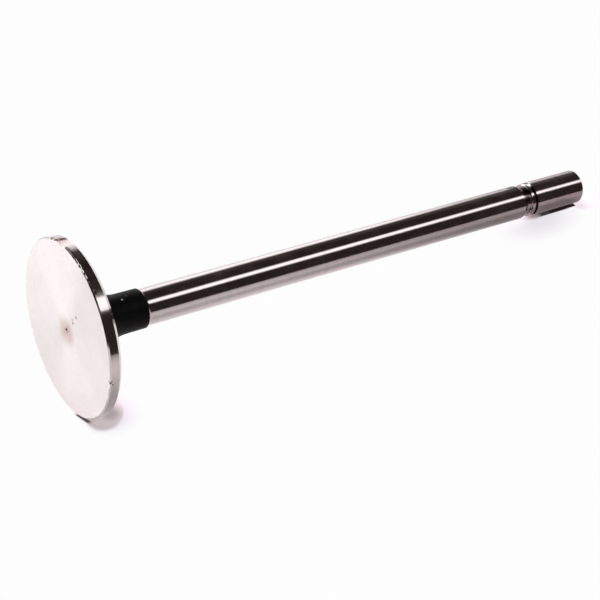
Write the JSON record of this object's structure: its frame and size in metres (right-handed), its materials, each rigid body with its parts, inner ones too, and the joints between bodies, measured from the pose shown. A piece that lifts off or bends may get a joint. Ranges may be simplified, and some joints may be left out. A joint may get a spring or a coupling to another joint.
{
  "type": "engine valve",
  "caption": "Poppet valve of a heavy diesel engine: flat round head with a seat cone, forged neck, long ground stem with keeper and safety ring grooves below a plain tip.",
  "frame": {"origin": "centre of the flat combustion face, where the valve's axis meets it", "axes": "+Z along the stem from the head to the tip; X and Y are free, because the valve is a body of revolution"},
  "size_m": [0.046, 0.046, 0.163],
  "materials": {
    "valve_steel": "stem, seat and margin ground bright, face turned, neck left matt black from the forging"
  },
  "bodies": {
    "root": {"valve": "valve_steel"}
  },
  "joints": []
}
